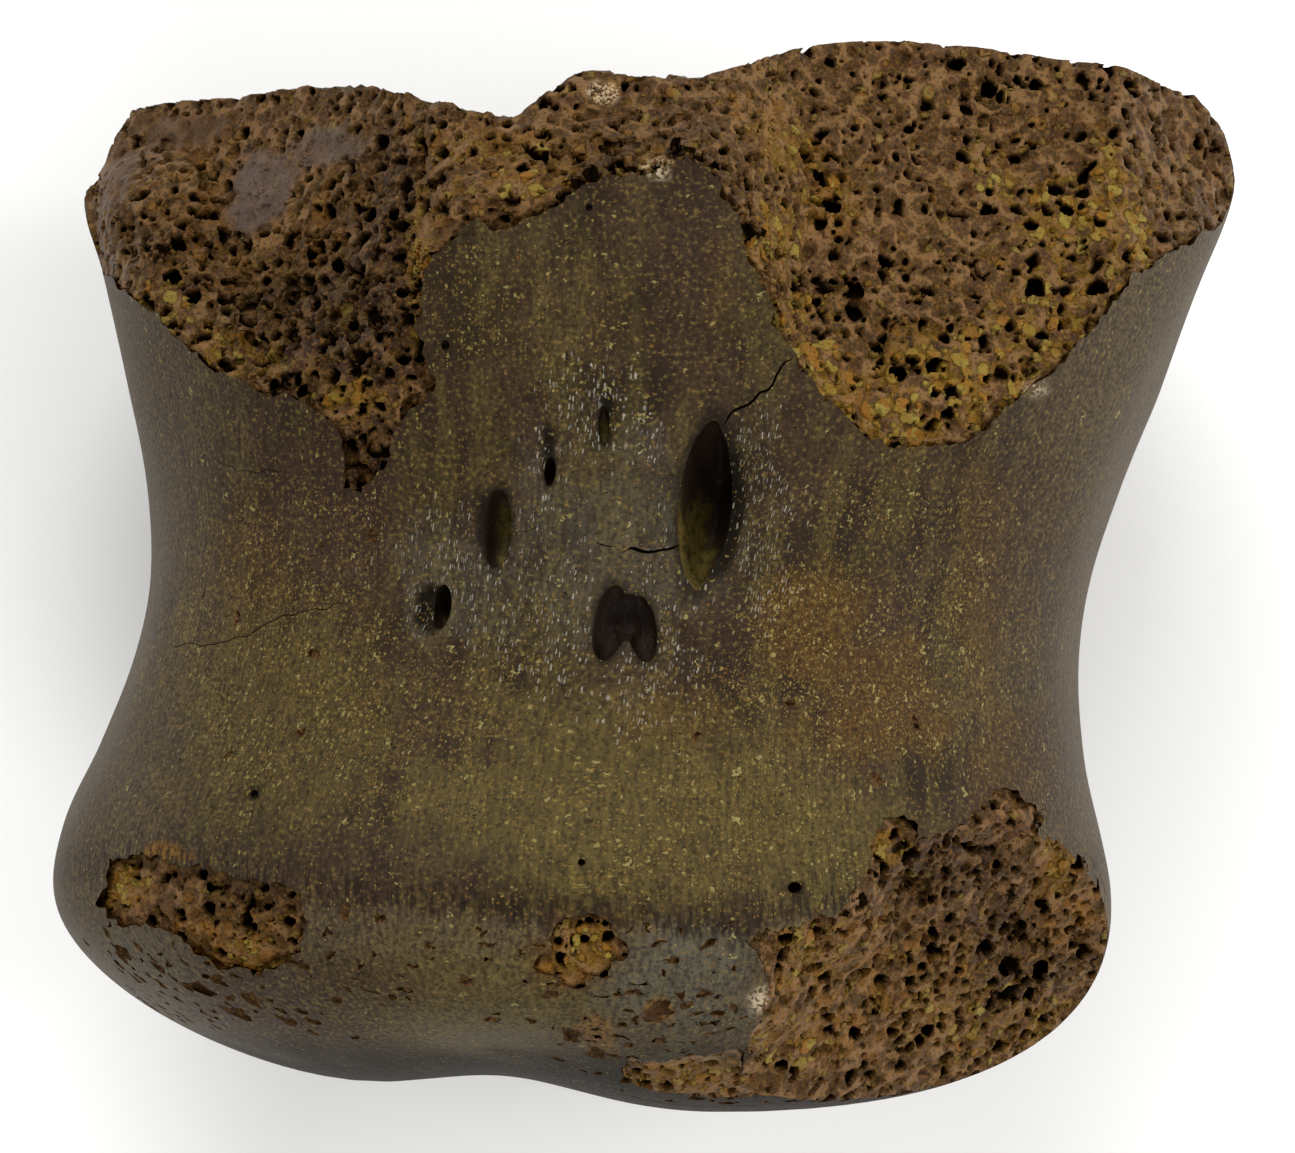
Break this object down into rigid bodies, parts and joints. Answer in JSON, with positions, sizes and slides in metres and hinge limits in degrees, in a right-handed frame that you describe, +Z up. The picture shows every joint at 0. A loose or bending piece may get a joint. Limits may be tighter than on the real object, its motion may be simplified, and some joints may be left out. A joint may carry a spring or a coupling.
{
  "type": "fossil dinosaur vertebra",
  "caption": "Spool-shaped fossil vertebra centrum with blood-vessel holes, broken ends showing spongy bone, resting on the worn stumps of its arch.",
  "frame": {"origin": "on the resting plane, under the middle of the bone's bounding box", "axes": "+X along the width of the centrum, +Y along its length from the domed end to the hollow end, +Z up, out of the belly side with the blood-vessel holes"},
  "size_m": [0.081, 0.0724, 0.0638],
  "materials": {
    "fossil_bone": "satin, mineralised brown bone with golden specks and open spongy breaks"
  },
  "bodies": {
    "root": {"vertebra": "fossil_bone"}
  },
  "joints": []
}
